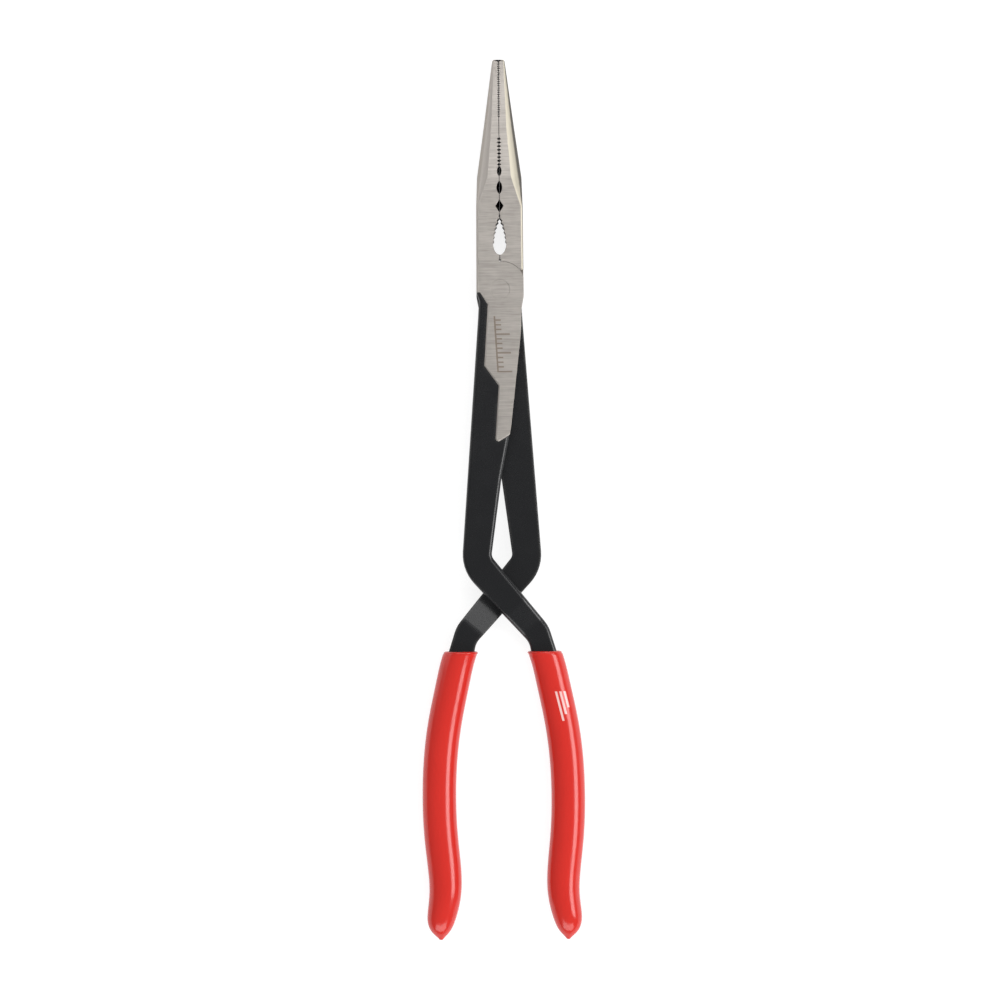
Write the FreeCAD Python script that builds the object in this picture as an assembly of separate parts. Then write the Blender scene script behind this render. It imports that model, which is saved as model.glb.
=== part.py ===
"""Long-reach needle nose pliers, in millimetres.

The pliers lie flat. The hinge axis is +Z through the origin, the jaws point to +Y and the
handles to -Y. The front half carries the left jaw, runs down the left side in the upper
layer, crosses over the rear half and ends in the right grip. The rear half is the same
forging turned half a turn about the long axis: right jaw, lower layer, left grip.
"""
import FreeCAD, Part
import math
import os

V = FreeCAD.Vector

# ---------------------------------------------------------------- driving dimensions
# Thickness
HEAD_THICK = 12.0        # ground face to ground face at the joint
MID_Z = HEAD_THICK / 2   # parting plane of the lap joint
LAP_GAP = 0.1            # running gap between the two joint plates
STRAP_TOP = 11.3         # black strap surface, just below the ground pad
CORE_HALF = 2.6          # half thickness of the steel inside a grip

# Room for cutters and blanks
CLEAR = 0.5              # how far a cutter runs past the steel it cuts
HEAD_SIDE = 12.0         # half width that takes in the whole head
TOOL_REACH = 260.0       # further from the hinge axis than any point of the tool

# Jaws
TIP_Y = 86.3             # tip of the jaws above the hinge axis
SEAM = 0.01              # each closed jaw stays this far from the middle plane
JAW_FOOT_Y = -1.0        # where the jaw's ground face ends beside the joint
# One row per section across a jaw: height above the axis, half thickness, width of the
# flat face, width and height halfway round the shoulder, full width, half height of the side.
JAW_SECTIONS = [
    (TIP_Y, 2.0, 1.4, 1.75, 1.8, 1.9, 1.4),
    (TIP_Y - 0.6, 2.45, 1.85, 2.2, 2.15, 2.35, 1.6),
    (60.8, 4.5, 2.8, 4.6, 3.3, 5.7, 0.8),
    (42.0, 6.0, 4.4, 6.9, 4.3, 8.35, 1.6),
    (31.2, 6.0, 7.9, 8.47, 5.74, 8.7, 5.2),
    (JAW_FOOT_Y, 6.0, 8.0, 8.6, 5.74, 8.85, 5.2),
]

# Bite, from the tip down: fine and coarse serrations, two lenses, a diamond, the pipe grip
SERRATIONS = [
    {"top": TIP_Y - 0.6, "pitch": 0.82, "depth": 0.65, "count": 26, "land": 0.25},
    {"top": 57.0, "pitch": 1.38, "depth": 0.85, "count": 8, "land": 0.2},
]
LENSES = [(46.4, 42.3, 0.9), (40.7, 35.5, 1.15)]      # top, bottom, depth
DIAMOND = (33.7, 28.7, 1.65)                          # top, bottom, depth
PIPE_TOP = 28.4
PIPE_WIDE_Y = 17.6
PIPE_BOTTOM = 13.0
PIPE_HALF = 2.5
PIPE_LEAN = 0.6          # the toothed flanks close in by this much at mid thickness
PIPE_TOOTH = {"pitch": 1.7, "depth": 0.6, "count": 6, "fade": 0.4}
SLIT_HOLE_R = 0.45       # small relief hole at the foot of the seam

# Lap joint and rivet
JOINT_R = 10.5           # round shoulder of each joint plate, about the hinge axis
PLATE_TOP_Y = 14.0       # top of the joint plate before its shoulder is turned round
SHOULDER_GAP = 0.12
SHOULDER_FOOT = 7.4      # the jaw's shoulder stops here, above a small notch
NOTCH = [(7.45, 7.5), (9.5, 7.5), (9.5, 3.2)]         # corner cut off the joint plate
RIVET_R = 3.0
RIVET_HEAD_R = 3.6
RIVET_HEAD_H = 0.9
RUNNING_FIT = 0.05       # radial clearance of the turning half on the rivet

# Handles
MOUTH_Y = -135.5         # where the steel enters the grip
JOGGLE_TURN = 40.0       # the joggle's bends run square across the sloping part of the handle
JOGGLE = (93.9, 104.2)   # start and end of the joggle, measured square to its bends
JOGGLE_R = 8.0
EDGE_R = 1.5             # rounding of the straps' outer edges
LAP_EDGE_R = 0.4         # rounding of the edges beside the parting plane
EDGE_TOP_Y = -3.9        # the rounding starts below this height
JOGGLE_SAG = 0.25        # how far the joggle's arcs leave its straight stretches

# Outline of the front half, clockwise from the top left: x, y, corner radius
STRAP_INNER = [
    (8.85, PLATE_TOP_Y, 0),
    (8.85, -2.5, 3),
    (7.95, -7.5, 6),
    (7.75, -15.5, 40),
    (3.7, -52.0, 60),
    (0.0, -70.5, 60),
    (-3.95, -99.9, 3.2),
    (17.3, -126.1, 12),
]
CORE_OUTER = [
    (20.7, -137.0, 60),
    (24.8, -153.9, 60),
    (28.5, -180.0, 60),
    (28.4, -200.0, 60),
    (25.2, -222.0, 30),
    (26.4, -235.5, 2.5),
]
CORE_INNER = [
    (20.9, -236.5, 2.5),
    (18.3, -222.0, 30),
    (20.3, -200.0, 60),
    (20.0, -180.0, 60),
    (15.9, -153.9, 60),
    (10.8, -137.0, 40),
]
STRAP_OUTER = [
    (10.0, -132.3, 6.5),
    (-15.2, -104.9, 16),
    (-8.35, -11.0, 30),
    (-7.95, -4.0, 2),
    (-8.8, -1.5, 1),
    (-8.8, PLATE_TOP_Y, 0),
]

# Ground pad on the front of the joint plate; its right side is the strap's own edge
PAD = [
    (-7.7, 12.0, 0),
    (12.0, 12.0, 0),
    (12.0, -48.9, 0),
    (-1.2, -57.1, 1.0),
    (-2.1, -56.0, 0.6),
    (-0.75, -36.0, 1.0),
    (-6.1, -28.5, 0.8),
    (-4.65, -5.6, 0.8),
    (-7.7, -0.6, 0),
]
PAD_BEVEL = 0.45

# Grip sections down its length: y, inner x, outer x
GRIP_SECTIONS = [
    (MOUTH_Y, 9.25, 22.2),
    (-146.0, 12.15, 24.95),
    (-160.0, 15.1, 27.95),
    (-175.0, 17.2, 29.95),
    (-190.0, 17.85, 30.55),
    (-204.0, 17.35, 30.1),
    (-218.0, 16.05, 28.6),
    (-228.0, 16.3, 28.25),
    (-233.0, 17.4, 29.0),
    (-237.2, 18.7, 29.1),
    (-239.6, 19.8, 28.3),
    (-241.2, 21.0, 27.1),
    (-242.5, 22.3, 25.6),
]
GRIP_HALF_THICK = 6.0
GRIP_ROUND = 0.99        # thickness against width of the narrow sections
DRIP_TIP = (23.9, -243.8)
DRIP_HALF = 0.5          # half width of the drip's blunt point

TOUCH = 0.01             # two points nearer than this are the same


# ---------------------------------------------------------------- helpers
def rounded_outline(corners, z):
    """Closed wire through the corners (x, y, radius) at height z, each rounded by its radius."""
    count = len(corners)
    points = [V(x, y, z) for x, y, radius in corners]
    ends = []
    for i in range(count):
        before = (points[i - 1] - points[i]).normalize()
        after = (points[(i + 1) % count] - points[i]).normalize()
        radius = corners[i][2]
        half = before.getAngle(after) / 2
        reach = radius / math.tan(half) if radius else 0.0
        bisector = (before + after).normalize() if radius else V(0, 0, 0)
        middle = points[i] + bisector * (radius / math.sin(half) - radius)
        ends.append((points[i] + before * reach, middle, points[i] + after * reach, radius))
    edges = []
    for i in range(count):
        start, middle, end, radius = ends[i]
        if radius:
            edges.append(Part.Arc(start, middle, end).toShape())
        edges.append(Part.LineSegment(end, ends[(i + 1) % count][0]).toShape())
    return Part.Wire(edges)


def prism(corners, low, high):
    """Upright prism on a rounded outline, from height low to height high."""
    return Part.Face(rounded_outline(corners, low)).extrude(V(0, 0, high - low))


def box(low, high):
    """Box between two opposite corners."""
    size = high - low
    return Part.makeBox(size.x, size.y, size.z, low)


def edges_on(shape, test):
    """Edges whose every sampled point passes the test."""
    chosen = []
    for edge in shape.Edges:
        if edge.Degenerated:
            continue
        if all(test(p) for p in edge.discretize(5)):
            chosen.append(edge)
    return chosen


# ---------------------------------------------------------------- the bite between the jaws
def bite_cutter():
    """Everything right of the left jaw's biting edge, through the whole thickness."""
    foot = JOINT_R + SLIT_HOLE_R
    low = V(-SEAM, foot, -CLEAR)
    plain = box(low, V(HEAD_SIDE, TIP_Y + CLEAR, HEAD_THICK + CLEAR))
    hole = Part.makeCylinder(SLIT_HOLE_R, HEAD_THICK + 2 * CLEAR, V(0, foot, -CLEAR))
    return plain.fuse([hole, pipe_grip()] + recess_cutters())


def recess_cutters():
    """Serrations, lenses and diamond, each narrowing from both faces to mid thickness."""
    cutters = []
    for row in SERRATIONS:
        for i in range(row["count"]):
            top = row["top"] - i * row["pitch"]
            bottom = top - row["pitch"] + row["land"]
            cutters.append(recess(vee, top, bottom, row["depth"]))
    for top, bottom, depth in LENSES:
        cutters.append(recess(lens, top, bottom, depth))
    cutters.append(recess(vee, *DIAMOND))
    return cutters


def recess(outline, top, bottom, depth):
    """Double funnel on an outline: full depth at both faces, closed to the seam in between."""
    half = jaw_half_thick((top + bottom) / 2) + CLEAR
    wires = []
    for z, reach in ((MID_Z - half, depth), (MID_Z, 0.0), (MID_Z + half, depth)):
        wires.append(outline(top, bottom, SEAM + reach, z))
    return Part.makeLoft(wires, True, True)


def jaw_half_thick(y):
    """Half thickness of the closed jaws at y."""
    for above, below in zip(JAW_SECTIONS, JAW_SECTIONS[1:]):
        if y >= below[0]:
            share = (y - below[0]) / (above[0] - below[0])
            return below[1] + share * (above[1] - below[1])
    return MID_Z


def vee(top, bottom, depth, z):
    """Three-cornered outline with its point in the left jaw."""
    corners = [V(SEAM, top, z), V(-depth, (top + bottom) / 2, z), V(SEAM, bottom, z)]
    return Part.makePolygon(corners + [corners[0]])


def lens(top, bottom, depth, z):
    """Outline with one bowed side in the left jaw."""
    ends = [V(SEAM, top, z), V(SEAM, bottom, z)]
    bow = Part.Arc(ends[0], V(-depth, (top + bottom) / 2, z), ends[1])
    return Part.Wire([bow.toShape(), Part.LineSegment(ends[1], ends[0]).toShape()])


def pipe_grip():
    """Left half of the pipe grip: toothed flank leaning in to mid thickness, smooth foot."""
    wires = []
    for z, lean in ((-CLEAR, 0.0), (MID_Z, PIPE_LEAN), (HEAD_THICK + CLEAR, 0.0)):
        points = [V(CLEAR, PIPE_BOTTOM, z), V(CLEAR, PIPE_TOP, z), V(-SEAM, PIPE_TOP, z)]
        points += pipe_grip_flank(lean, z)
        edges = [Part.LineSegment(a, b).toShape() for a, b in zip(points, points[1:])]
        edges.append(pipe_grip_floor(z))
        edges.append(Part.LineSegment(V(-SEAM, PIPE_BOTTOM, z), points[0]).toShape())
        wires.append(Part.Wire(edges))
    return Part.makeLoft(wires, True, True)


def pipe_grip_flank(lean, z):
    """Toothed upper flank, widening downwards along a parabola."""
    flank = []
    reach = PIPE_TOP - PIPE_WIDE_Y
    for i in range(PIPE_TOOTH["count"]):
        root_y = PIPE_TOP - (i + 0.5) * PIPE_TOOTH["pitch"]
        crest_y = root_y - PIPE_TOOTH["pitch"] / 2
        tooth = PIPE_TOOTH["depth"] * (1 - PIPE_TOOTH["fade"] * i / PIPE_TOOTH["count"])
        for y, height in ((root_y, 0.0), (crest_y, tooth)):
            rise = (y - PIPE_WIDE_Y) / reach
            x = PIPE_HALF * (1 - rise ** 2) - height - lean * rise
            flank.append(V(-max(SEAM, x), y, z))
    flank.append(V(-PIPE_HALF, PIPE_WIDE_Y, z))
    return flank


def pipe_grip_floor(z):
    """Smooth elliptical foot of the pipe grip."""
    drop = PIPE_WIDE_Y - PIPE_BOTTOM
    steps = 8
    points = []
    for i in range(steps + 1):
        angle = math.pi / 2 * i / steps
        x = SEAM + (PIPE_HALF - SEAM) * math.cos(angle)
        points.append(V(-x, PIPE_WIDE_Y - drop * math.sin(angle), z))
    curve = Part.BSplineCurve()
    curve.interpolate(points)
    return curve.toShape()


# ---------------------------------------------------------------- the forged halves
def jaw_blank():
    """Left jaw and the left side of the head, lofted through its sections."""
    wires = [jaw_section(*row) for row in JAW_SECTIONS]
    blank = Part.makeLoft(wires, True, True)
    under = MID_Z + LAP_GAP / 2
    below_lap = Part.makeCylinder(JOINT_R + SHOULDER_GAP, under + CLEAR, V(0, 0, -CLEAR))
    low = V(-HEAD_SIDE, JAW_FOOT_Y - CLEAR, -CLEAR)
    below_foot = box(low, V(CLEAR, SHOULDER_FOOT, under))
    return blank.cut(below_lap).cut(below_foot)


def jaw_section(y, half, flat, round_x, round_z, side, side_z):
    """Section across the left jaw: flat faces, rounded shoulders and a short upright side."""

    def at(x, z):
        return V(-x, y, MID_Z + z)

    edges = [
        Part.LineSegment(at(0, half), at(flat, half)),
        Part.Arc(at(flat, half), at(round_x, round_z), at(side, side_z)),
        Part.LineSegment(at(side, side_z), at(side, -side_z)),
        Part.Arc(at(side, -side_z), at(round_x, -round_z), at(flat, -half)),
        Part.LineSegment(at(flat, -half), at(0, -half)),
        Part.LineSegment(at(0, -half), at(0, half)),
    ]
    return Part.Wire([edge.toShape() for edge in edges])


def strap_side_profile():
    """Side view of the upper layer's strap: flat, then joggled down to the middle plane."""
    under = MID_Z + LAP_GAP / 2
    low = MID_Z - CORE_HALF
    high = MID_Z + CORE_HALF
    start, end = JOGGLE
    corners = [
        (TOOL_REACH, under, 0),
        (TOOL_REACH, STRAP_TOP, 0),
        (-start, STRAP_TOP, JOGGLE_R),
        (-end, high, JOGGLE_R),
        (-TOOL_REACH, high, 0),
        (-TOOL_REACH, low, 0),
        (-end, low, JOGGLE_R),
        (-start, under, JOGGLE_R),
    ]
    slab = prism(corners, -TOOL_REACH, TOOL_REACH)
    slab.rotate(V(0, 0, 0), V(1, 1, 1), 120)
    slab.rotate(V(0, 0, 0), V(0, 0, 1), JOGGLE_TURN)
    return slab


def strap():
    """Joint plate, upper handle, crossing and the steel inside the grip, with rounded edges."""
    outline = STRAP_INNER + CORE_OUTER + CORE_INNER + STRAP_OUTER
    full = prism(outline, -CLEAR, HEAD_THICK)
    body = full.common(strap_side_profile())
    top = edges_on(body, lambda p: is_strap_edge(p, True))
    body = body.makeFillet(EDGE_R, top)
    bottom = edges_on(body, lambda p: is_strap_edge(p, False))
    body = body.makeFillet(LAP_EDGE_R, bottom)
    under = MID_Z + LAP_GAP / 2
    pad = prism(PAD, under, HEAD_THICK)
    pad = pad.makeChamfer(PAD_BEVEL, edges_on(pad, is_pad_rim))
    return body.fuse(pad.common(full))


def side_height(p, upper):
    """Height of the strap's upper or lower surface at a point, straight stretches only."""
    start, end = JOGGLE
    turn = math.radians(JOGGLE_TURN)
    reach = p.x * math.sin(turn) - p.y * math.cos(turn)
    share = min(1.0, max(0.0, (reach - start) / (end - start)))
    top = STRAP_TOP + share * (MID_Z + CORE_HALF - STRAP_TOP)
    under = MID_Z + LAP_GAP / 2
    bottom = under + share * (MID_Z - CORE_HALF - under)
    return top if upper else bottom


def is_strap_edge(p, upper):
    """True on the long edges of the strap's upper or lower face."""
    return p.y < EDGE_TOP_Y and abs(p.z - side_height(p, upper)) < JOGGLE_SAG


def is_pad_rim(p):
    """True on the left and bottom edges of the pad's ground face."""
    on_face = abs(p.z - HEAD_THICK) < TOUCH
    return on_face and p.y < PAD[-1][1] + TOUCH and p.x < PAD[1][0]


def round_shoulder_cutter():
    """Takes the joint plate back to its round shoulder under the other jaw."""
    far = V(HEAD_SIDE, PLATE_TOP_Y + CLEAR, HEAD_THICK + CLEAR)
    block = box(V(-SEAM, 0, MID_Z), far)
    disc = Part.makeCylinder(JOINT_R, HEAD_THICK + 2 * CLEAR, V(0, 0, -CLEAR))
    corners = [V(x, y, MID_Z) for x, y in NOTCH]
    notch = Part.Face(Part.makePolygon(corners + [corners[0]])).extrude(V(0, 0, HEAD_THICK))
    return block.cut(disc).fuse(notch)


def rivet_profile(clearance):
    """Flush rivet: a shank with a countersunk head at each ground face."""
    r = RIVET_R + clearance
    head = RIVET_HEAD_R + clearance
    corners = [
        V(0, 0, 0),
        V(head, 0, 0),
        V(r, 0, RIVET_HEAD_H),
        V(r, 0, HEAD_THICK - RIVET_HEAD_H),
        V(head, 0, HEAD_THICK),
        V(0, 0, HEAD_THICK),
        V(0, 0, 0),
    ]
    return Part.Face(Part.makePolygon(corners)).revolve(V(0, 0, 0), V(0, 0, 1), 360)


def forged_half(bore_clearance):
    """One half, drawn as the front half."""
    half = jaw_blank().fuse(strap())
    half = half.cut(round_shoulder_cutter())
    half = half.cut(bite_cutter())
    half = half.cut(rivet_profile(bore_clearance))
    return half.removeSplitter()


def turned_over(shape):
    """The shape turned half a turn about the long axis, in the parting plane."""
    turned = shape.copy()
    turned.rotate(V(0, 0, MID_Z), V(0, 1, 0), 180)
    return turned


# ---------------------------------------------------------------- the dipped grips
def grip_section(y, inner, outer, half_thick):
    """Oval section of the right grip across its length, no thicker than it is wide."""
    centre = V((inner + outer) / 2, y, MID_Z)
    wide = V((outer - inner) / 2, 0, 0)
    ellipse = Part.Ellipse(centre + wide, centre + V(0, 0, half_thick), centre)
    return Part.Wire(ellipse.toShape())


def right_grip_blank():
    """Outer form of the right grip, closed by its pointed drip."""
    sections = []
    for y, inner, outer in GRIP_SECTIONS:
        half_thick = min(GRIP_HALF_THICK, (outer - inner) / 2 * GRIP_ROUND)
        sections.append(grip_section(y, inner, outer, half_thick))
    x, y = DRIP_TIP
    sections.append(grip_section(y, x - DRIP_HALF, x + DRIP_HALF, DRIP_HALF * GRIP_ROUND))
    return Part.makeLoft(sections, True, False)


# ---------------------------------------------------------------- assembly
def build():
    """All the pieces by node name."""
    front_half = forged_half(RUNNING_FIT)
    rear_half = turned_over(forged_half(0.0))
    right_grip = right_grip_blank().cut(front_half)
    left_grip = turned_over(right_grip_blank()).cut(rear_half)
    return {
        "front_half": front_half,
        "rear_half": rear_half,
        "pivot_rivet": rivet_profile(0.0),
        "right_grip": right_grip,
        "left_grip": left_grip,
    }


os.makedirs("parts", exist_ok=True)
for name, shape in build().items():
    solids = shape.Solids
    print(name, len(solids), "solid", round(shape.Volume / 1000, 2), "cm3", shape.isValid())
    solids[0].exportStep("parts/" + name + ".step")
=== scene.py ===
import math

import bmesh
import bpy
import numpy as np
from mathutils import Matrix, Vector


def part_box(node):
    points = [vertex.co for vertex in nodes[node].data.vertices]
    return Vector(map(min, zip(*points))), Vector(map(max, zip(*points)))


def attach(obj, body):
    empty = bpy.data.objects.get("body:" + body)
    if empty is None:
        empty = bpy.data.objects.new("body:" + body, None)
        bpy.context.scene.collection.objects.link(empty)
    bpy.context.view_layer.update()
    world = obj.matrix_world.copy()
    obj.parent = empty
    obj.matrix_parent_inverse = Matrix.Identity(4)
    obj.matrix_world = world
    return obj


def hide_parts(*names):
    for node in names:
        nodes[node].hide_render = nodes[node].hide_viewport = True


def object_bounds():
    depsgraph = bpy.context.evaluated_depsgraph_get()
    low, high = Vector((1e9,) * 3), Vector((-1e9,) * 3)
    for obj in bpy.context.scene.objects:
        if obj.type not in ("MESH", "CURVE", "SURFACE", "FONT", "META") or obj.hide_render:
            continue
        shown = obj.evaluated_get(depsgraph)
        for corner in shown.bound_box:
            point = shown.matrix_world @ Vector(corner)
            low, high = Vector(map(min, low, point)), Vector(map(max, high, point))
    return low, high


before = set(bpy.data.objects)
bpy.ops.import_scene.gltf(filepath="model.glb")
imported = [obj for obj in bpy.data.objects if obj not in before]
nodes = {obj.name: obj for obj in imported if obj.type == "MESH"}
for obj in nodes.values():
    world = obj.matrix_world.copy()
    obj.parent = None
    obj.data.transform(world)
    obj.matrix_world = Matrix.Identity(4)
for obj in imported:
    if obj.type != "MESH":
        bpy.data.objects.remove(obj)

# Looks of the long-reach needle nose pliers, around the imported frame. All lengths in metres.
cad_low, cad_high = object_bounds()

MM = 0.001
MID_Z = (cad_high.z + cad_low.z) / 2
LENGTH = cad_high.y - cad_low.y
SOFT_EDGE = 0.05 * MM       # half width of the soft border of a mark or of the grinding

# ---------------------------------------------------------------- values of the ground steel
GROUND_START = -1.0 * MM    # the head is ground bright above this height along the tool
GROUND_WAVER = 0.12 * MM    # how far that border strays
PAD_START = 5.33 * MM       # the pad is ground where it stands this far from the middle plane
PAD_FULL = 5.39 * MM
STEEL = (0.49, 0.457, 0.424)
STEEL_DIM = (0.33, 0.306, 0.282)
STEEL_ROUGH = (0.34, 0.46)
STEEL_METAL = 0.92
STEEL_GRAIN = 0.7           # how much the grinding lines stretch reflections along the tool
LINES_FINE = (150.0, 3600.0, 150.0)     # grinding lines to a metre, along each axis
LINES_COARSE = (60.0, 1500.0, 60.0)
COARSE_SHARE = 0.4
CLOUD_SHARE = 0.3           # share of slow clouds in the tone; the rest follows the lines
STREAK = (0.32, 0.66)       # heights of that mix that give dim and bright steel
BEVEL_LEAN = (0.06, 0.22)   # sideways lean of a face, from the flat top to a bevel
# painted light: the front half's bevels are lifted to this lighter tone and the rear half's take
# the cream of a highlight
BEVEL_PAINTED_LIGHT = (0.53, 0.494, 0.460)
BEVEL_CREAM_HIGHLIGHT = (0.57, 0.530, 0.440)
BEVEL_ROUGH = 0.55          # the bevels are blasted, not ground
SIDE_LEAN = (0.70, 0.84)    # sideways lean of a face, from a bevel to an upright side
SIDE_BRIGHT = (0.40, 0.370, 0.335)
# painted shade: the rear half's upright sides are darkened to this
SIDE_PAINTED_SHADE = (0.115, 0.106, 0.094)
STEEL_CORNER = 0.15 * MM    # rounding of the edges in the shading
RIVET_TONE = 0.04           # share of the side's tone in the rivet's ends
RELIEF = 0.02 * MM          # depth of the grinding lines and of the coating's grain
RELIEF_STRENGTH = 0.35

# ---------------------------------------------------------------- values of the bite
BITE_FOOT = 10.7 * MM       # the seam between the jaws starts above this height
BITE_FADE = 0.3 * MM
PIPE_TEETH = 18.6 * MM      # the pipe grip has teeth above this height
PIPE_FADE = 1.0 * MM
FINE_FOOT = 47.5 * MM       # above this height only serrations reach out from the seam
FINE_FADE = 0.5 * MM
SEAM_HALF = 3.3 * MM        # the recesses reach this far from the seam
FINE_HALF = 0.95 * MM       # and the serrations this far
SEAM_LINE = 0.17 * MM       # half width of the painted shade line where the jaws meet
SEAM_CORE = 0.6             # share of that line that is fully dark
INNER_FACE = 0.3 * MM       # the jaws' meeting faces lie this near the middle plane
LAND_LEAN = (0.015, 0.04)   # upward lean, from those upright faces to the recess walls
WALL_LEAN = (0.96, 0.80)    # upward lean, from the flat top to the recess walls
LINE_LEAN = (0.3, 0.6)      # upward lean from which faces carry the dark line
TIP_LEAN = (0.97, 0.90)     # lean along the tool, from the jaws' end face to the recess walls
# painted shade: near-black colour for the recess walls and the line where the jaws meet
STEEL_PIT_SHADE = (0.016, 0.011, 0.010)

# ---------------------------------------------------------------- values of the black coating
BLACK = (0.0062, 0.0066, 0.0078)
# lighter tone of the coating's edges, partly wear and partly a painted highlight
BLACK_WEAR_AND_HIGHLIGHT = (0.045, 0.044, 0.043)
BLACK_ROUGH = (0.22, 0.32)
BLACK_CORNER = 0.45 * MM    # rounding of the edges in the shading
GRAIN_ROUGH = 0.03          # how far the fine grain shifts the roughness
EDGE_TURN = (0.997, 0.94)   # cosine of the rounded normal's turn, from open face to edge
WEAR_AND_HIGHLIGHT_REACH = 1.6 * MM       # how far from an edge the coating is lightened, as wear and as a painted highlight
WEAR_AND_HIGHLIGHT_PATCH = (0.25, 0.60)   # heights of the patches that stay black and that are lightened
WEAR_AND_HIGHLIGHT_SHARE = 0.9

# ---------------------------------------------------------------- values of the vinyl
RED = (0.62, 0.0255, 0.0175)
RED_THICK = (0.56, 0.0195, 0.0130)
THICK_MOST = 0.6            # greatest share of the thick vinyl's colour
VINYL_ROUGH = (0.14, 0.22)
RIPPLES = (60.0, 22.0, 60.0)    # slow ripples to a metre, along each axis
RIPPLE_DEPTH = 0.12 * MM
PEEL_DEPTH = 0.015 * MM     # the orange peel on top of them

# ---------------------------------------------------------------- values of the marks
MARK_BROWN = (0.200, 0.150, 0.110)
MARK_STRENGTH = 0.9
MARK_SPECKLE = 0.6          # the etching's weakest spots keep this share of it
MARK_TOP = -10.0 * MM       # etched gauge on the ground pad
MARK_FOOT = -31.0 * MM
MARK_LEFT = -3.1 * MM
MARK_LEAN = 0.06
MARK_BAR = 0.6 * MM
TICK_PITCH = 1.75 * MM
TICK_WIDTH = (0.34, 0.28)   # share of the pitch that a tick fills, with and without its border
TICK_SHORT = 2.6 * MM
TICK_LONG = 5.6 * MM
LONG_TICK_EVERY = 4
MARK_FACE_UP = 0.9          # the etching is only on faces that look up more than this

MARK_WHITE = (0.80, 0.52, 0.50)
PRINT_BARS = 3              # printed bars on the right grip
PRINT_TOP = 15.0 * MM       # below the grip's mouth
PRINT_ACROSS = 0.57         # place of the middle bar, as a share of the grip's width
PRINT_LENGTH = 11.0 * MM    # length of the longest bar
PRINT_STEP = 2.5 * MM       # each bar is this much shorter than the last
PRINT_PITCH = 1.6 * MM
PRINT_HALF = 0.42 * MM
PRINT_SLANT = 0.25
PRINT_FACE_UP = 0.2

# ---------------------------------------------------------------- values of the grips' shape
RING = 64                   # points round a ring
SQUARENESS = 2.05           # 2 is an ellipse; more is squarer
CORE_SQUARENESS = 6.0
LIP = 0.7 * MM              # rounding radius of the mouth's lip
LIP_STEPS = 7
LIP_START = 0.05 * MM       # the mouth's outline is read this far below it
INNER_GAP = 0.1 * MM        # the sleeve's inside is this much smaller than the steel
INNER_STEPS = 25
STATIONS = 220
SMOOTH_PASSES = 60
SMOOTH_END = 15.0 * MM      # the evening out fades over this last stretch
DRIP_ROUND = 0.2 * MM       # the drip closes over this length

# ---------------------------------------------------------------- values of the stage
FLOOR_HALF = 6.0
FLOOR_DROP = 0.02 * MM      # the floor lies this far below the tool
FLOOR_GREY = (0.25, 0.25, 0.25)
FLOOR_ROUGH = 0.8
FLOOR_GLOSS = 0.1
FLOOR_GLOW = 0.85
WHITE = (1.0, 1.0, 1.0)
WALL_LIGHT = 0.22
CEILING_LIGHT = 0.27
WALL_TOP = 0.15             # height on the unit sky where the wall starts to fade
CEILING_START = 0.75        # and where the ceiling's own light begins
LIGHT_DISTANCE = 1.2
# name, lean along x and y in degrees, lengths of the level and the sloping sides, radiance
SOFTBOXES = (
    ("top_softbox", 5.0, 32.0, 1.3, 0.55, 2.9),
    ("bottom_softbox", 0.0, -60.0, 1.6, 0.6, 3.1),
    ("left_softbox", -75.0, 58.0, 0.64, 0.8, 0.9),
    ("right_softbox", 53.0, 0.0, 0.8, 0.52, 6.2),
)

# ---------------------------------------------------------------- values of the camera
SENSOR = 36.0
LENS = 150.0
TOOL_SHARE = 0.8794         # share of the picture's height that the tool fills
CAMERA_X = -0.6 * MM
CAMERA_ROLL = -0.43         # degrees
CLIP_NEAR = 0.01
CLIP_FAR = 50.0


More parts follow.
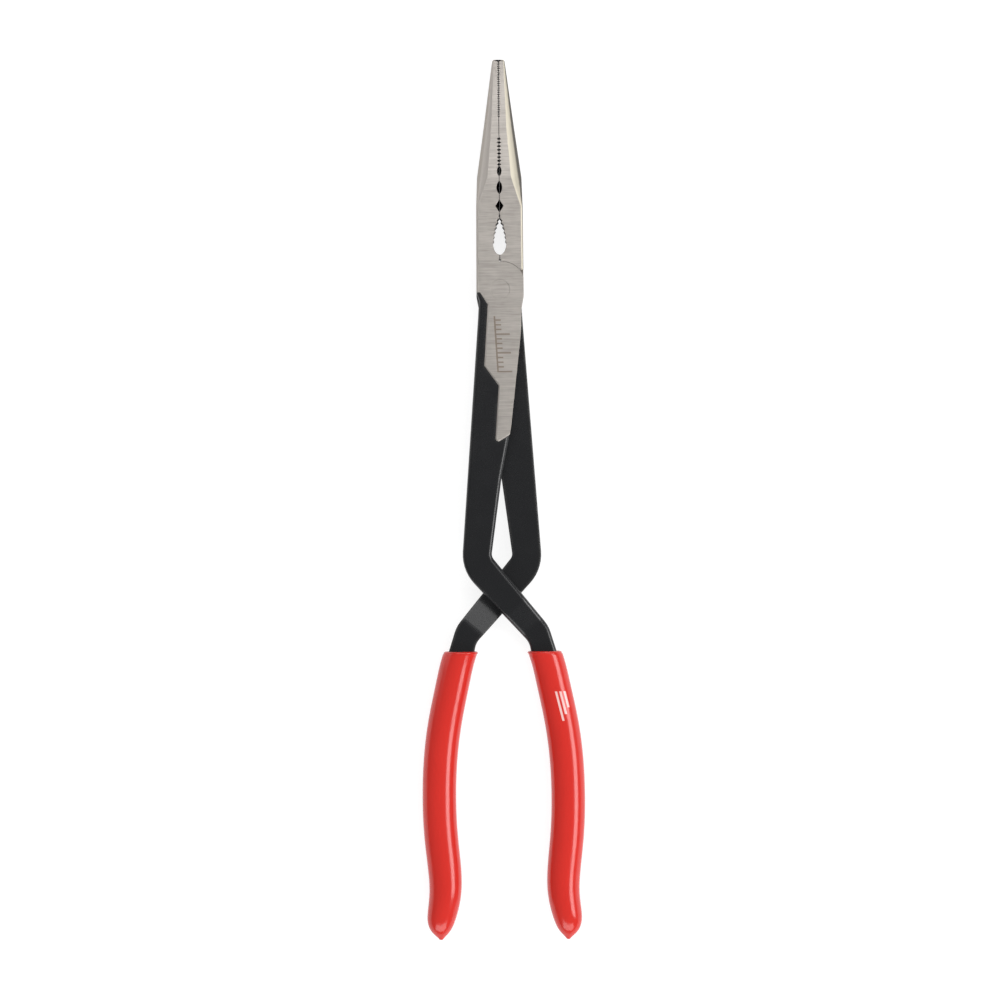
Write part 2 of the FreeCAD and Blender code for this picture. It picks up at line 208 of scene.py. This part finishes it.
# ---------------------------------------------------------------- node helpers
class Graph:
    """A material's node tree with short calls for the nodes that the looks use."""

    def __init__(self, name):
        self.material = bpy.data.materials.new(name)
        self.material.use_nodes = True
        self.tree = self.material.node_tree
        self.tree.nodes.clear()
        output = self.add("ShaderNodeOutputMaterial")
        self.shader = self.add("ShaderNodeBsdfPrincipled")
        self.tree.links.new(self.shader.outputs[0], output.inputs["Surface"])
        coordinates = self.add("ShaderNodeTexCoord")
        self.place = coordinates.outputs["Object"]
        self.facing = coordinates.outputs["Normal"]

    def add(self, kind, **settings):
        node = self.tree.nodes.new(kind)
        for key, value in settings.items():
            setattr(node, key, value)
        return node

    def put(self, socket, value):
        if isinstance(value, bpy.types.NodeSocket):
            self.tree.links.new(value, socket)
        elif isinstance(value, tuple) and len(value) == 3 and socket.type == "RGBA":
            socket.default_value = (*value, 1.0)
        else:
            socket.default_value = value

    def math(self, operation, a, b=0.0):
        node = self.add("ShaderNodeMath", operation=operation)
        self.put(node.inputs[0], a)
        self.put(node.inputs[1], b)
        return node.outputs[0]

    def plus(self, a, b):
        return self.math("ADD", a, b)

    def minus(self, a, b):
        return self.math("SUBTRACT", a, b)

    def times(self, *values):
        product = values[0]
        for value in values[1:]:
            product = self.math("MULTIPLY", product, value)
        return product

    def size_of(self, value):
        return self.math("ABSOLUTE", value)

    def split(self, vector):
        node = self.add("ShaderNodeSeparateXYZ")
        self.put(node.inputs[0], vector)
        return node.outputs[0], node.outputs[1], node.outputs[2]

    def stretch(self, vector, scale):
        node = self.add("ShaderNodeVectorMath", operation="MULTIPLY")
        self.put(node.inputs[0], vector)
        node.inputs[1].default_value = scale
        return node.outputs[0]

    def noise(self, vector, scale=1.0, detail=2.0, roughness=0.5):
        node = self.add("ShaderNodeTexNoise")
        self.put(node.inputs["Vector"], vector)
        node.inputs["Scale"].default_value = scale
        node.inputs["Detail"].default_value = detail
        node.inputs["Roughness"].default_value = roughness
        return node.outputs[0]

    def step(self, value, low, high):
        """0 below low, 1 above high, smooth between; low may be the larger of the two."""
        node = self.add("ShaderNodeMapRange", interpolation_type="SMOOTHSTEP")
        self.put(node.inputs["Value"], value)
        node.inputs["From Min"].default_value = min(low, high)
        node.inputs["From Max"].default_value = max(low, high)
        node.inputs["To Min"].default_value = 0.0 if low < high else 1.0
        node.inputs["To Max"].default_value = 1.0 if low < high else 0.0
        return node.outputs[0]

    def band(self, value, low, high):
        """1 between low and high, with soft edges."""
        rise = self.step(value, low - SOFT_EDGE, low + SOFT_EDGE)
        return self.times(rise, self.step(value, high + SOFT_EDGE, high - SOFT_EDGE))

    def scale(self, value, low, high):
        """Maps 0..1 to low..high."""
        node = self.add("ShaderNodeMapRange")
        self.put(node.inputs["Value"], value)
        self.put(node.inputs["To Min"], low)
        self.put(node.inputs["To Max"], high)
        return node.outputs[0]

    def mix(self, share, a, b):
        """Colour a at share 0, colour b at share 1."""
        node = self.add("ShaderNodeMix", data_type="RGBA")
        self.put(node.inputs[0], share)
        self.put(node.inputs[6], a)
        self.put(node.inputs[7], b)
        return node.outputs[2]

    def blend(self, share, a, b):
        """Value a at share 0, value b at share 1."""
        node = self.add("ShaderNodeMix", data_type="FLOAT")
        self.put(node.inputs[0], share)
        self.put(node.inputs[2], a)
        self.put(node.inputs[3], b)
        return node.outputs[0]

    def bump(self, height, distance, strength, normal=None):
        node = self.add("ShaderNodeBump")
        self.put(node.inputs["Height"], height)
        node.inputs["Distance"].default_value = distance
        node.inputs["Strength"].default_value = strength
        if normal is not None:
            self.put(node.inputs["Normal"], normal)
        return node.outputs[0]

    def bevel(self, radius):
        """Normal with the edges rounded."""
        node = self.add("ShaderNodeBevel", samples=6)
        self.put(node.inputs["Radius"], radius)
        return node.outputs[0]

    def along_tool(self):
        """The tool's long direction, which turns with the piece."""
        node = self.add("ShaderNodeVectorTransform", vector_type="VECTOR")
        node.convert_from = "OBJECT"
        node.convert_to = "WORLD"
        node.inputs[0].default_value = (0.0, 1.0, 0.0)
        return node.outputs[0]

    def edge(self, radius):
        """1 on sharp edges, 0 on open faces."""
        node = self.add("ShaderNodeVectorMath", operation="DOT_PRODUCT")
        self.put(node.inputs[0], self.bevel(radius))
        geometry = self.add("ShaderNodeNewGeometry")
        self.put(node.inputs[1], geometry.outputs["Normal"])
        return self.step(node.outputs["Value"], *EDGE_TURN)


# ---------------------------------------------------------------- steel
def brushed(graph):
    """Grinding lines across the tool, as a height from 0 to 1."""
    fine = graph.noise(graph.stretch(graph.place, LINES_FINE), roughness=0.6)
    coarse = graph.noise(graph.stretch(graph.place, LINES_COARSE), roughness=0.6)
    return graph.blend(COARSE_SHARE, fine, coarse)


def recess(graph):
    """1 where shade is painted: on the bite's recess walls and on a line where the jaws meet."""
    x, y, _ = graph.split(graph.place)
    _, ny, nz = graph.split(graph.facing)
    off_seam = graph.size_of(x)
    fine = graph.step(y, FINE_FOOT, FINE_FOOT + FINE_FADE)
    near_seam = graph.math("LESS_THAN", off_seam, graph.blend(fine, SEAM_HALF, FINE_HALF))
    above_teeth = graph.step(y, PIPE_TEETH, PIPE_TEETH + PIPE_FADE)
    up = graph.size_of(nz)
    wall = graph.times(graph.step(up, *WALL_LEAN), graph.step(up, *LAND_LEAN))
    not_tip = graph.step(ny, *TIP_LEAN)
    pit = graph.times(near_seam, above_teeth, wall, not_tip)
    in_bite = graph.step(y, BITE_FOOT, BITE_FOOT + BITE_FADE)
    on_face = graph.step(up, *LINE_LEAN)
    thin = graph.step(off_seam, SEAM_LINE, SEAM_LINE * SEAM_CORE)
    line = graph.times(thin, in_bite, on_face)
    return graph.math("MAXIMUM", pit, line)


def ground_steel(graph, bevel_painted_light, side_tone_or_shade):
    """Colour, roughness, grain strength and line height of the ground steel; the colour carries
    painted light on the bevels and painted shade on the rear half's sides and in the bite.
    """
    x, _, _ = graph.split(graph.place)
    nx, _, _ = graph.split(graph.facing)
    lines = brushed(graph)
    cloud = graph.noise(graph.place, scale=90.0, detail=3.0, roughness=0.6)
    streak = graph.blend(CLOUD_SHARE, lines, cloud)
    lean = graph.size_of(nx)
    bevel = graph.step(lean, *BEVEL_LEAN)
    side = graph.step(lean, *SIDE_LEAN)
    color = graph.mix(graph.step(streak, *STREAK), STEEL_DIM, STEEL)
    # bevels take a painted-light tone, lifted on the front half and a cream highlight on the rear
    # half
    color = graph.mix(bevel, color, bevel_painted_light)
    inner = graph.math("LESS_THAN", graph.size_of(x), INNER_FACE)
    # upright sides take the side tone, which on the rear half is painted shade
    color = graph.mix(side, color, graph.mix(inner, side_tone_or_shade, SIDE_BRIGHT))
    # painted shade in the bite's recesses and along the seam
    color = graph.mix(recess(graph), color, STEEL_PIT_SHADE)
    rough = graph.blend(bevel, graph.scale(lines, *STEEL_ROUGH), BEVEL_ROUGH)
    grain = graph.scale(bevel, STEEL_GRAIN, 0.0)
    return color, rough, grain, lines


def coating(graph):
    """Colour, roughness and grain height of the satin black coating, whose edges are lightened as
    wear and as a painted highlight.
    """
    grain = graph.noise(graph.place, scale=2600.0, detail=3.0, roughness=0.6)
    patch = graph.noise(graph.place, scale=140.0, detail=4.0, roughness=0.65)
    # the edges are lightened partly as wear and partly as a painted highlight along them
    wear_and_highlight = graph.times(graph.edge(WEAR_AND_HIGHLIGHT_REACH), graph.step(patch, *WEAR_AND_HIGHLIGHT_PATCH), WEAR_AND_HIGHLIGHT_SHARE)
    color = graph.mix(wear_and_highlight, BLACK, BLACK_WEAR_AND_HIGHLIGHT)
    shift = graph.scale(grain, -GRAIN_ROUGH, GRAIN_ROUGH)
    rough = graph.plus(graph.scale(patch, *BLACK_ROUGH), shift)
    return color, rough, grain


def tang_mark(graph):
    """1 on a plain etched gauge, a bar with a row of ticks down the ground pad."""
    x, y, _ = graph.split(graph.place)
    _, _, nz = graph.split(graph.facing)
    across = graph.minus(graph.plus(x, graph.times(y, MARK_LEAN)), MARK_LEFT)
    bar = graph.band(across, 0.0, MARK_BAR)
    count = graph.math("DIVIDE", graph.minus(y, MARK_FOOT), TICK_PITCH)
    tick = graph.step(graph.math("FRACT", count), *TICK_WIDTH)
    group = graph.math("FRACT", graph.times(graph.math("FLOOR", count), 1 / LONG_TICK_EVERY))
    is_long = graph.math("LESS_THAN", group, 0.5 / LONG_TICK_EVERY)
    reach = graph.scale(is_long, TICK_SHORT, TICK_LONG)
    beside = graph.math("GREATER_THAN", across, 0.0)
    ticks = graph.times(tick, beside, graph.math("LESS_THAN", across, reach))
    inside = graph.band(y, MARK_FOOT, MARK_TOP)
    speckle = graph.scale(graph.noise(graph.place, scale=3000.0), MARK_SPECKLE, 1.0)
    upward = graph.math("GREATER_THAN", nz, MARK_FACE_UP)
    return graph.times(graph.math("MAXIMUM", bar, ticks), inside, upward, speckle)


def half_material(name, bevel_painted_light, side_tone_or_shade, marked):
    """One forging: ground bright on the head and pad, black everywhere else."""
    graph = Graph(name)
    _, y, z = graph.split(graph.place)
    waver = graph.scale(graph.noise(graph.place, scale=800.0), -GROUND_WAVER, GROUND_WAVER)
    height = graph.plus(y, waver)
    head = graph.step(height, GROUND_START - SOFT_EDGE, GROUND_START + SOFT_EDGE)
    pad = graph.step(graph.size_of(graph.minus(z, MID_Z)), PAD_START, PAD_FULL)
    ground = graph.math("MAXIMUM", head, pad)
    steel_color, steel_rough, steel_grain, lines = ground_steel(graph, bevel_painted_light, side_tone_or_shade)
    black_color, black_rough, black_grain = coating(graph)
    if marked:
        share = graph.times(tang_mark(graph), MARK_STRENGTH)
        steel_color = graph.mix(share, steel_color, MARK_BROWN)
    inputs = graph.shader.inputs
    graph.put(inputs["Base Color"], graph.mix(ground, black_color, steel_color))
    graph.put(inputs["Metallic"], graph.times(ground, STEEL_METAL))
    graph.put(inputs["Roughness"], graph.blend(ground, black_rough, steel_rough))
    graph.put(inputs["Anisotropic"], graph.times(ground, steel_grain))
    graph.put(inputs["Tangent"], graph.along_tool())
    rounded = graph.bevel(graph.scale(ground, BLACK_CORNER, STEEL_CORNER))
    relief = graph.blend(ground, black_grain, lines)
    graph.put(inputs["Normal"], graph.bump(relief, RELIEF, RELIEF_STRENGTH, rounded))
    return graph.material


def rivet_material():
    """The rivet's ends were ground with the head, so they carry the same lines."""
    graph = Graph("rivet_ground_steel")
    # the rivet's bevels take the front half's lifted painted-light tone
    color, rough, grain, lines = ground_steel(graph, BEVEL_PAINTED_LIGHT, SIDE_BRIGHT)
    inputs = graph.shader.inputs
    graph.put(inputs["Base Color"], graph.mix(RIVET_TONE, color, SIDE_BRIGHT))
    graph.put(inputs["Metallic"], STEEL_METAL)
    graph.put(inputs["Roughness"], rough)
    graph.put(inputs["Anisotropic"], grain)
    graph.put(inputs["Tangent"], graph.along_tool())
    graph.put(inputs["Normal"], graph.bump(lines, RELIEF, RELIEF_STRENGTH))
    return graph.material


# ---------------------------------------------------------------- vinyl
def vinyl_material(name, marked):
    """Glossy dipped vinyl with a slight ripple, fine orange peel and deeper colour in places."""
    graph = Graph(name)
    cloud = graph.noise(graph.place, scale=60.0)
    color = graph.mix(graph.scale(cloud, 0.0, THICK_MOST), RED, RED_THICK)
    if marked:
        color = graph.mix(grip_mark(graph), color, MARK_WHITE)
    gloss = graph.noise(graph.place, scale=250.0, detail=3.0)
    ripple = graph.noise(graph.stretch(graph.place, RIPPLES))
    peel = graph.noise(graph.place, scale=900.0)
    rippled = graph.bump(ripple, RIPPLE_DEPTH, strength=0.35)
    inputs = graph.shader.inputs
    graph.put(inputs["Base Color"], color)
    graph.put(inputs["Roughness"], graph.scale(gloss, *VINYL_ROUGH))
    peeled = graph.bump(peel, PEEL_DEPTH, strength=0.2, normal=rippled)
    graph.put(inputs["Normal"], peeled)
    return graph.material


def grip_mark(graph):
    """1 on a plain white print, slanting bars of falling length."""
    x, y, _ = graph.split(graph.place)
    _, _, nz = graph.split(graph.facing)
    low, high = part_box("right_grip")
    centre_x = low.x + PRINT_ACROSS * (high.x - low.x)
    top = high.y - PRINT_TOP
    slant = graph.times(graph.minus(y, top), PRINT_SLANT)
    across = graph.plus(graph.minus(x, centre_x), slant)
    print_share = 0.0
    for i in range(PRINT_BARS):
        offset = (i - (PRINT_BARS - 1) / 2) * PRINT_PITCH
        foot = top - PRINT_LENGTH + i * PRINT_STEP
        stroke = graph.band(across, offset - PRINT_HALF, offset + PRINT_HALF)
        bar = graph.times(stroke, graph.band(y, foot, top))
        print_share = graph.math("MAXIMUM", bar, print_share)
    return graph.times(print_share, graph.math("GREATER_THAN", nz, PRINT_FACE_UP))


# ---------------------------------------------------------------- grips
def edge_ends(node):
    """Both end points of every edge of a CAD node's mesh."""
    mesh = nodes[node].data
    points = np.empty(len(mesh.vertices) * 3)
    pairs = np.empty(len(mesh.edges) * 2, dtype=np.int32)
    mesh.vertices.foreach_get("co", points)
    mesh.edges.foreach_get("vertices", pairs)
    ends = points.reshape(-1, 3)[pairs]
    return ends[0::2], ends[1::2]


def slice_at(ends, y):
    """Centre and half size, in x and z, of the cut through those edges at y."""
    a, b = ends
    crossing = ((a[:, 1] - y) * (b[:, 1] - y) <= 0) & (a[:, 1] != b[:, 1])
    a, b = a[crossing], b[crossing]
    share = (y - a[:, 1]) / (b[:, 1] - a[:, 1])
    cut = a + (b - a) * share[:, None]
    low, high = cut.min(axis=0), cut.max(axis=0)
    centre, half = (low + high) / 2, (high - low) / 2
    return centre[0], centre[2], half[0], half[2]


def oval(cx, cz, half_x, half_z, y, power=SQUARENESS):
    """Ring of points on a squared ellipse across the grip."""
    ring = []
    for i in range(RING):
        angle = 2 * math.pi * i / RING
        c, s = math.cos(angle), math.sin(angle)
        px = math.copysign(abs(c) ** (2 / power), c) * half_x
        pz = math.copysign(abs(s) ** (2 / power), s) * half_z
        ring.append((cx + px, y, cz + pz))
    return ring


def smooth_profile(ends, top, bottom):
    """Stations down a node with their slices, evened out but for the last stretch at the bottom."""
    ys = np.linspace(top, bottom, STATIONS)
    profile = np.array([slice_at(ends, y) for y in ys])
    even = profile.copy()
    for _ in range(SMOOTH_PASSES):
        even[1:-1] = (even[:-2] + 2 * even[1:-1] + even[2:]) / 4
    weight = np.clip((ys - bottom) / SMOOTH_END, 0.0, 1.0)[:, None]
    return ys, even * weight + profile * (1 - weight)


def grip_piece(node, half_node, name):
    """Dipped sleeve over the handle's steel: rolled lip, swelling end and drip, hollow inside."""
    low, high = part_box(node)
    mouth, foot = high.y, low.y
    sleeve, core = edge_ends(node), edge_ends(half_node)
    inner_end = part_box(half_node)[0].y + INNER_GAP
    rings = []
    for y in np.linspace(inner_end, mouth - LIP, INNER_STEPS):
        x, z, half_x, half_z = slice_at(core, y)
        rings.append(oval(x, z, half_x - INNER_GAP, half_z - INNER_GAP, y, CORE_SQUARENESS))
    end = foot + DRIP_ROUND
    ys, profile = smooth_profile(sleeve, mouth - LIP_START, end)
    x, z, half_x, half_z = profile[0]
    for angle in np.linspace(0.0, math.pi / 2, LIP_STEPS):
        inset = LIP * (1 - math.sin(angle))
        y = mouth - LIP * (1 - math.cos(angle))
        rings.append(oval(x, z, half_x - inset, half_z - inset, y))
    for y, row in zip(ys, profile):
        if y < mouth - LIP:
            rings.append(oval(*row, y))
    return skin(rings, (profile[-1][0], foot, profile[-1][1]), name)


def skin(rings, tip, name):
    """Smooth closed object through rings of points, flat at its first ring and ended by the tip."""
    built = bmesh.new()
    rows = [[built.verts.new(point) for point in ring] for ring in rings]
    for upper, lower in zip(rows, rows[1:]):
        for i in range(RING):
            j = (i + 1) % RING
            built.faces.new((upper[i], upper[j], lower[j], lower[i]))
    point = built.verts.new(tip)
    for i in range(RING):
        built.faces.new((rows[-1][i], rows[-1][(i + 1) % RING], point))
    built.faces.new(rows[0])
    bmesh.ops.recalc_face_normals(built, faces=built.faces)
    mesh = bpy.data.meshes.new(name)
    built.to_mesh(mesh)
    built.free()
    mesh.shade_smooth()
    piece = bpy.data.objects.new(name, mesh)
    bpy.context.scene.collection.objects.link(piece)
    return piece


# ---------------------------------------------------------------- assembly
def dress_cad():
    """New materials on the CAD pieces that stay visible."""
    finishes = {
        # the halves' finishes carry painted light on the bevels and painted shade on the rear
        # half's sides
        "front_half": half_material("front_half_finish_with_painted_light", BEVEL_PAINTED_LIGHT, SIDE_BRIGHT, True),
        "rear_half": half_material("rear_half_finish_with_painted_light", BEVEL_CREAM_HIGHLIGHT, SIDE_PAINTED_SHADE, False),
        "pivot_rivet": rivet_material(),
    }
    for node, finish in finishes.items():
        nodes[node].data.materials.clear()
        nodes[node].data.materials.append(finish)


def make_grips():
    """Dipped sleeves in place of the CAD grips, each riding with its half."""
    for node, half_node, body, marked in (
        ("right_grip", "front_half", "front", True),
        ("left_grip", "rear_half", "rear", False),
    ):
        piece = grip_piece(node, half_node, node + "_dipped")
        piece.data.materials.append(vinyl_material(node + "_vinyl", marked))
        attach(piece, body)
        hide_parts(node)


# ---------------------------------------------------------------- stage
def make_floor():
    """Pale floor that glows softly."""
    half = FLOOR_HALF
    corners = [(-half, -half, 0), (half, -half, 0), (half, half, 0), (-half, half, 0)]
    mesh = bpy.data.meshes.new("floor")
    mesh.from_pydata(corners, [], [(0, 1, 2, 3)])
    floor = bpy.data.objects.new("floor", mesh)
    bpy.context.scene.collection.objects.link(floor)
    floor.location.z = cad_low.z - FLOOR_DROP
    graph = Graph("pale_floor")
    inputs = graph.shader.inputs
    graph.put(inputs["Base Color"], FLOOR_GREY)
    graph.put(inputs["Roughness"], FLOOR_ROUGH)
    graph.put(inputs["Specular IOR Level"], FLOOR_GLOSS)
    graph.put(inputs["Emission Color"], WHITE)
    graph.put(inputs["Emission Strength"], FLOOR_GLOW)
    mesh.materials.append(graph.material)


def soft_light(name, lean_x, lean_y, level, slope, radiance):
    """Softbox aimed at the tool, leaning off the zenith; level and slope are its sides."""
    centre = (cad_low + cad_high) / 2
    x, y = math.tan(math.radians(lean_x)), math.tan(math.radians(lean_y))
    away = Vector((x, y, 1.0)).normalized() * LIGHT_DISTANCE
    data = bpy.data.lights.new(name, "AREA")
    data.shape = "RECTANGLE"
    data.size = level
    data.size_y = slope
    data.energy = radiance * math.pi * level * slope
    light = bpy.data.objects.new(name, data)
    bpy.context.scene.collection.objects.link(light)
    light.location = centre + away
    light.rotation_euler = (-away).to_track_quat("-Z", "Y").to_euler()
    light.visible_camera = False


def make_world():
    """Even grey studio walls, a little brighter towards the ceiling."""
    world = bpy.data.worlds.new("studio")
    bpy.context.scene.world = world
    world.use_nodes = True
    tree = world.node_tree
    place = tree.nodes.new("ShaderNodeTexCoord")
    split = tree.nodes.new("ShaderNodeSeparateXYZ")
    fade = tree.nodes.new("ShaderNodeMapRange")
    fade.interpolation_type = "SMOOTHSTEP"
    fade.inputs["From Min"].default_value = WALL_TOP
    fade.inputs["From Max"].default_value = CEILING_START
    fade.inputs["To Min"].default_value = WALL_LIGHT
    fade.inputs["To Max"].default_value = CEILING_LIGHT
    tree.links.new(place.outputs["Generated"], split.inputs[0])
    tree.links.new(split.outputs[2], fade.inputs["Value"])
    tree.links.new(fade.outputs[0], tree.nodes["Background"].inputs["Strength"])
    tree.nodes["Background"].inputs["Color"].default_value = (*WHITE, 1.0)


def make_camera():
    """Straight down on the front of the tool, with a long lens and a slight roll."""
    data = bpy.data.cameras.new("camera")
    data.sensor_width = SENSOR
    data.lens = LENS
    camera = bpy.data.objects.new("camera", data)
    bpy.context.scene.collection.objects.link(camera)
    distance = LENGTH / TOOL_SHARE * LENS / SENSOR
    camera.location = (CAMERA_X, (cad_low.y + cad_high.y) / 2, MID_Z + distance)
    camera.rotation_euler = (0.0, 0.0, math.radians(CAMERA_ROLL))
    data.clip_start = CLIP_NEAR
    data.clip_end = CLIP_FAR
    bpy.context.scene.camera = camera


dress_cad()
make_grips()
make_floor()
for softbox in SOFTBOXES:
    soft_light(*softbox)
make_world()
make_camera()
bpy.context.scene.view_settings.view_transform = "Standard"
